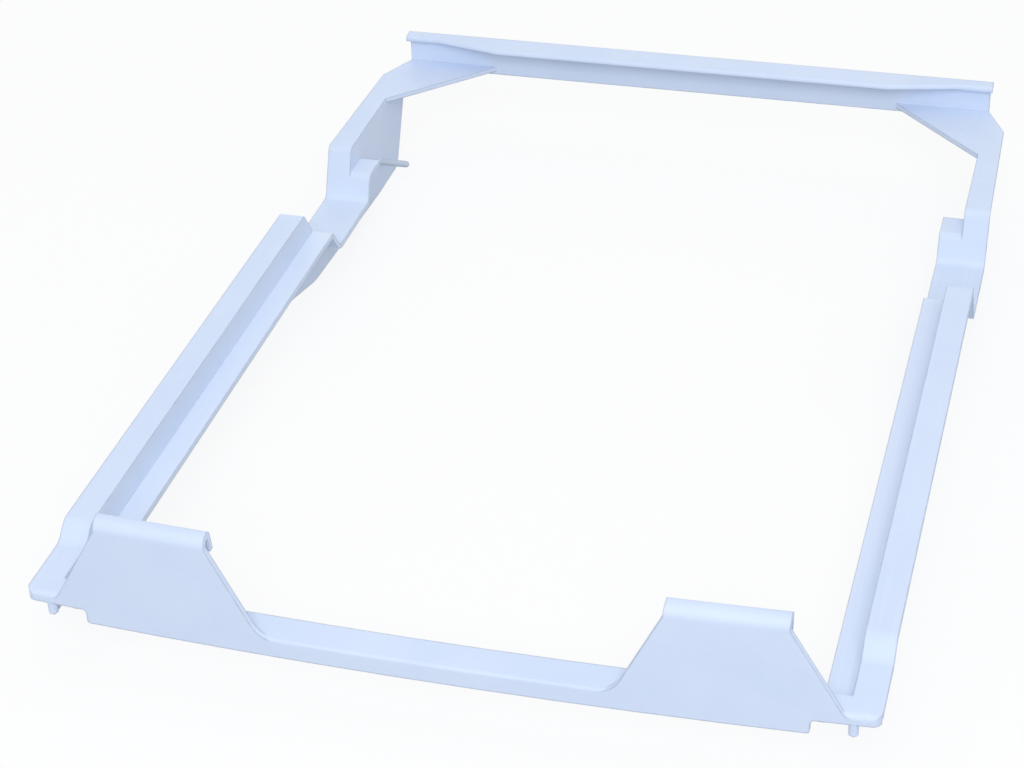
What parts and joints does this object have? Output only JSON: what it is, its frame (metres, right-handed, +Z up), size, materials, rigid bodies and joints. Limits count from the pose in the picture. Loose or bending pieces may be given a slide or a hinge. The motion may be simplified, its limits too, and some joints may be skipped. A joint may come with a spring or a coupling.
{
  "type": "fridge crisper drawer frame",
  "caption": "One-piece plastic frame that carries a refrigerator crisper drawer: side rails with ledges, a bowed front rail with rolled tabs, and a back wall.",
  "frame": {"origin": "middle of the box's bottom face, level with the feet of the rear webs", "axes": "+X to the right seen from the front, +Y from the front rail to the back wall, +Z up"},
  "size_m": [0.33, 0.4746, 0.0781],
  "materials": {
    "white_plastic": "smooth moulded plastic, cool white, satin to gloss"
  },
  "bodies": {
    "root": {"drawer_frame": "white_plastic"}
  },
  "joints": []
}
